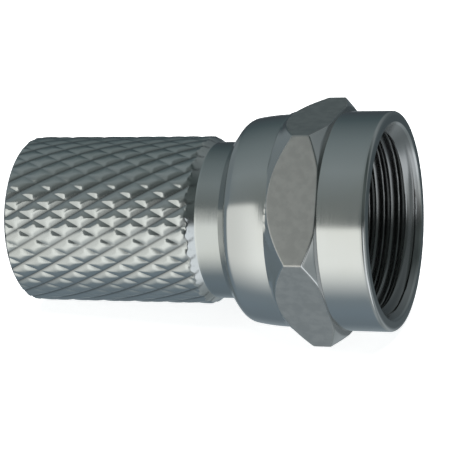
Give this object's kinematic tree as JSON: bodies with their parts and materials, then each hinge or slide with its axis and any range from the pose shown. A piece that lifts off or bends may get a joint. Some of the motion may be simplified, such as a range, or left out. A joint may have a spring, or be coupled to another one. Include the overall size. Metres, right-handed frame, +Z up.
{
  "type": "twist-on coaxial plug",
  "caption": "Screw-on plug for coaxial cable: a knurled metal body with a cable thread, and a hexagonal coupling nut with a round collar that spins freely on its neck.",
  "frame": {"origin": "on the plug's axis, in the body's front contact face, which meets the end of the socket", "axes": "+X along the axis, from the cable end to the open mouth of the nut; +Z up, with one flat of the nut's hexagon facing down"},
  "size_m": [0.0195, 0.0128, 0.011],
  "materials": {
    "body_plating": "nickel plated over a rolled diamond knurl, semi-bright",
    "nut_plating": "nickel plated over turned and milled faces, semi-bright"
  },
  "bodies": {
    "body": {"knurled_body": "body_plating"},
    "nut": {"coupling_nut": "nut_plating"}
  },
  "joints": [
    {"name": "nut_spin", "type": "hinge", "parent": "body", "child": "nut", "pos_m": [0, 0, 0], "axis": [1, 0, 0], "continuous": true}
  ]
}
